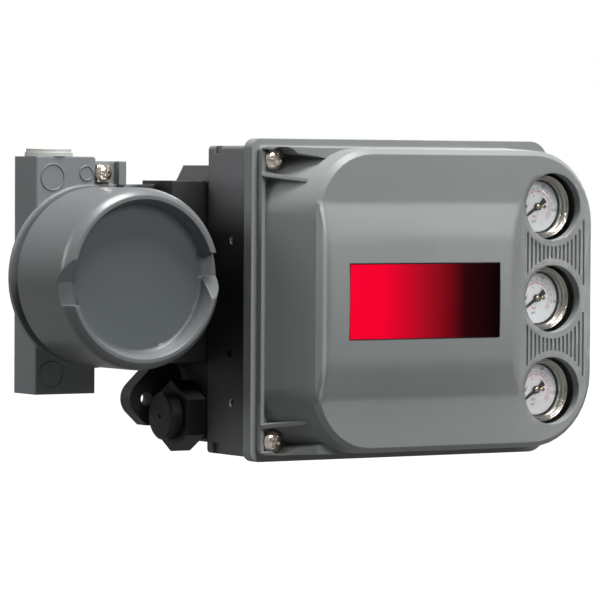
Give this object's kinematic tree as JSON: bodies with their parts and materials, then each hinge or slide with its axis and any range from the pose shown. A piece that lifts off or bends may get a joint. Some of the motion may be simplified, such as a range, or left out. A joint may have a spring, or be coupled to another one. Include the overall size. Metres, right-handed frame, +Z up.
{
  "type": "valve positioner",
  "caption": "Digital valve positioner with a lift-off gauge cover, a screw-capped terminal box on one side, air connections on the other and a feedback arm behind.",
  "frame": {"origin": "middle of the four mounting holes, on the rear mounting face", "axes": "+X to the gauge side, +Y backwards out of the mounting face, +Z up; the front looks along -Y"},
  "size_m": [0.3003, 0.1464, 0.16],
  "materials": {
    "housing_grey": "satin grey powder coat over cast aluminium",
    "cap_grey": "satin grey powder coat over cast aluminium",
    "cover_grey": "fine-grained grey moulding",
    "module_metal": "machined aluminium",
    "black_rubber": "matt black",
    "bright_steel": "plain steel",
    "gauge_chrome": "bright plated",
    "dial_white": "matt white enamel",
    "pointer_black": "matt black",
    "gauge_glass": "clear",
    "label_red": "printed film, red fading to black",
    "vent_black": "moulded black",
    "plug_pale": "pale moulding",
    "cup_brown": "moulded dark cup",
    "board_green": "solder resist",
    "converter_gold": "plated metal",
    "shroud_dark": "moulded dark grey",
    "terminal_dark": "moulded black",
    "bush_bronze": "sintered bronze"
  },
  "bodies": {
    "base": {"housing": "housing_grey", "module_base": "module_metal", "module_gasket": "black_rubber", "module_screws": "bright_steel", "electronics_cup": "cup_brown", "electronics_board": "board_green", "electronics_screws": "bright_steel", "converter": "converter_gold", "converter_screws": "bright_steel", "relay": "module_metal", "relay_shroud": "shroud_dark", "relay_screws": "bright_steel", "terminal_box": "housing_grey", "terminal_box_gasket": "black_rubber", "terminal_box_screws": "bright_steel", "terminal_board": "terminal_dark", "terminal_screws": "bright_steel", "conduit_plug": "plug_pale", "ground_screw": "bright_steel", "ground_clamp": "bright_steel", "wiring_lead": "black_rubber", "exhaust_vent": "vent_black", "vent_cap": "vent_black", "travel_sensor": "terminal_dark", "sensor_screws": "bright_steel", "feedback_bush": "bush_bronze", "gauge_case_1": "gauge_chrome", "gauge_dial_1": "dial_white", "gauge_lens_1": "gauge_glass", "gauge_case_2": "gauge_chrome", "gauge_dial_2": "dial_white", "gauge_lens_2": "gauge_glass", "gauge_case_3": "gauge_chrome", "gauge_dial_3": "dial_white", "gauge_lens_3": "gauge_glass"},
    "cover": {"cover": "cover_grey", "cover_seal": "black_rubber", "nameplate": "label_red"},
    "cover_screw_top": {"cover_screw_top": "bright_steel"},
    "cover_screw_bottom": {"cover_screw_bottom": "bright_steel"},
    "cap_seal": {"cap_seal": "black_rubber"},
    "cap": {"terminal_cap": "cap_grey", "cap_lock_screw": "bright_steel"},
    "feedback": {"feedback_shaft": "bright_steel", "feedback_arm": "bright_steel", "arm_clamp_screw": "bright_steel", "bias_spring": "bright_steel"},
    "relay_disc": {"relay_disc": "shroud_dark"},
    "pointer_1": {"gauge_pointer_1": "pointer_black"},
    "pointer_2": {"gauge_pointer_2": "pointer_black"},
    "pointer_3": {"gauge_pointer_3": "pointer_black"}
  },
  "joints": [
    {"name": "cover_lift", "type": "slide", "parent": "base", "child": "cover", "axis": [0, -1, 0], "range_m": [0, 0.08]},
    {"name": "cover_screw_top_turn", "type": "hinge", "parent": "cover", "child": "cover_screw_top", "pos_m": [-0.07865, -0.0925, 0.0738], "axis": [0, -1, 0], "continuous": true},
    {"name": "cover_screw_bottom_turn", "type": "hinge", "parent": "cover", "child": "cover_screw_bottom", "pos_m": [-0.07865, -0.0925, -0.0658], "axis": [0, -1, 0], "continuous": true},
    {"name": "cap_travel", "type": "slide", "parent": "base", "child": "cap_seal", "axis": [0, -1, 0], "range_m": [0, 0.02]},
    {"name": "cap_turn", "type": "hinge", "parent": "cap_seal", "child": "cap", "pos_m": [-0.14285, -0.0545, 0.0147], "axis": [0, -1, 0], "range_deg": [0, 2160]},
    {"name": "feedback_turn", "type": "hinge", "parent": "base", "child": "feedback", "pos_m": [0, 0, 0.01], "axis": [0, 1, 0], "range_deg": [-45, 45]},
    {"name": "relay_disc_turn", "type": "hinge", "parent": "base", "child": "relay_disc", "pos_m": [0.014, -0.0955, -0.0535], "axis": [0, 0, 1], "range_deg": [0, 300]},
    {"name": "pointer_1_turn", "type": "hinge", "parent": "base", "child": "pointer_1", "pos_m": [0.06965, -0.109, 0.0507], "axis": [0, 1, 0], "range_deg": [0, 270], "stiffness_Nm_per_rad": 0.001},
    {"name": "pointer_2_turn", "type": "hinge", "parent": "base", "child": "pointer_2", "pos_m": [0.06965, -0.109, 0.004], "axis": [0, 1, 0], "range_deg": [0, 270], "stiffness_Nm_per_rad": 0.001},
    {"name": "pointer_3_turn", "type": "hinge", "parent": "base", "child": "pointer_3", "pos_m": [0.06965, -0.109, -0.0427], "axis": [0, 1, 0], "range_deg": [0, 270], "stiffness_Nm_per_rad": 0.001}
  ],
  "couplings": [
    {"joint": "cap_travel", "follows": "cap_turn", "m_per_rad": 0.00047746}
  ]
}
